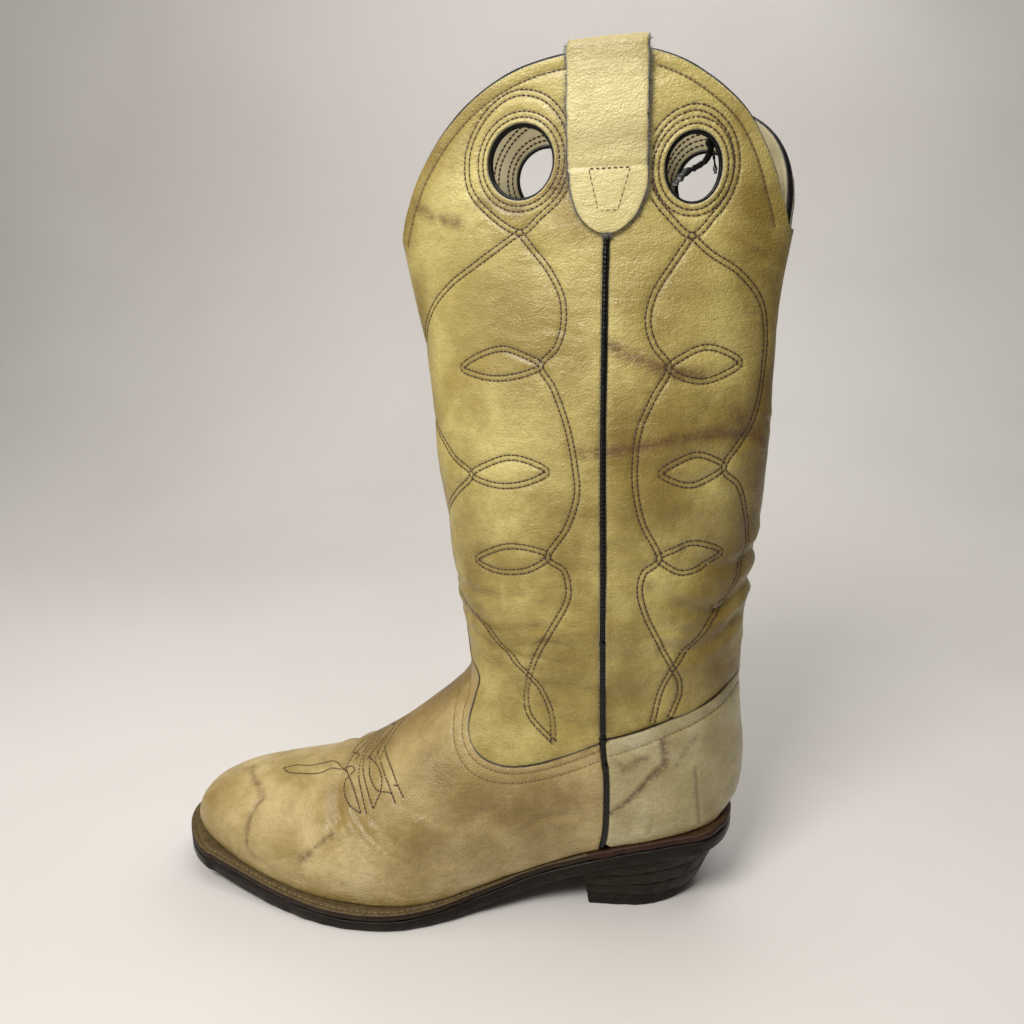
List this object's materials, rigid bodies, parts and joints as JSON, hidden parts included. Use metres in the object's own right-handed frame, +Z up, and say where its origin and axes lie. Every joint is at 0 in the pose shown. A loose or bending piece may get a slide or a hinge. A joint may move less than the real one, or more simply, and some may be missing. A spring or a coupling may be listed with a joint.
{
  "type": "cowboy boot",
  "caption": "Tall pull-on western boot for the left foot, with scalloped top, pull straps, pull holes, rounded toe, welted sole and stacked underslung heel.",
  "frame": {"origin": "centre of the bounding box in plan, on the floor plane that the heel cap and the ball of the sole rest on", "axes": "+Z up along the shaft, -X towards the toe, +X towards the heel, -Y towards the outer (lateral) side"},
  "size_m": [0.3038, 0.1056, 0.406],
  "materials": {
    "leather_vamp": "smooth worn leather, semi-matt",
    "leather_shaft": "smooth worn leather, soft sheen",
    "leather_strap": "soft leather with raw fuzzy edges",
    "leather_lining": "unfinished lining leather, matt",
    "stiffener_board": "fibre board, matt",
    "black_binding": "glazed black binding",
    "leather_sole": "waxed sole leather, dark edge",
    "leather_rand": "reddish brown edge, worn",
    "leather_heel": "stacked leather, scuffed",
    "cork": "ground cork filler",
    "shank_steel": "spring steel",
    "nail_steel": "wire nail",
    "rubber": "worn rubber, matt"
  },
  "bodies": {
    "root": {"vamp": "leather_vamp", "heel_counter": "leather_vamp", "front_panel": "leather_shaft", "back_panel": "leather_shaft", "front_lining": "leather_lining", "back_lining": "leather_lining", "vamp_lining": "leather_lining", "heel_lining": "leather_lining", "toe_box": "stiffener_board", "heel_stiffener": "stiffener_board", "top_binding_front": "black_binding", "top_binding_back": "black_binding", "side_piping_outer": "black_binding", "side_piping_inner": "black_binding", "pull_strap_outer": "leather_strap", "pull_strap_inner": "leather_strap", "hole_binding_front_outer": "black_binding", "hole_binding_front_inner": "black_binding", "hole_binding_back_outer": "black_binding", "hole_binding_back_inner": "black_binding", "insole": "stiffener_board", "sock_liner": "leather_lining", "welt": "leather_sole", "heel_rand": "leather_rand", "cork_filler": "cork", "shank": "shank_steel", "outsole": "leather_sole", "heel_cap": "rubber", "heel_lift_1": "leather_heel", "heel_lift_2": "leather_heel", "heel_lift_3": "leather_heel", "heel_nail_1": "nail_steel", "heel_nail_2": "nail_steel", "heel_nail_3": "nail_steel", "heel_nail_4": "nail_steel", "heel_nail_5": "nail_steel"}
  },
  "joints": []
}
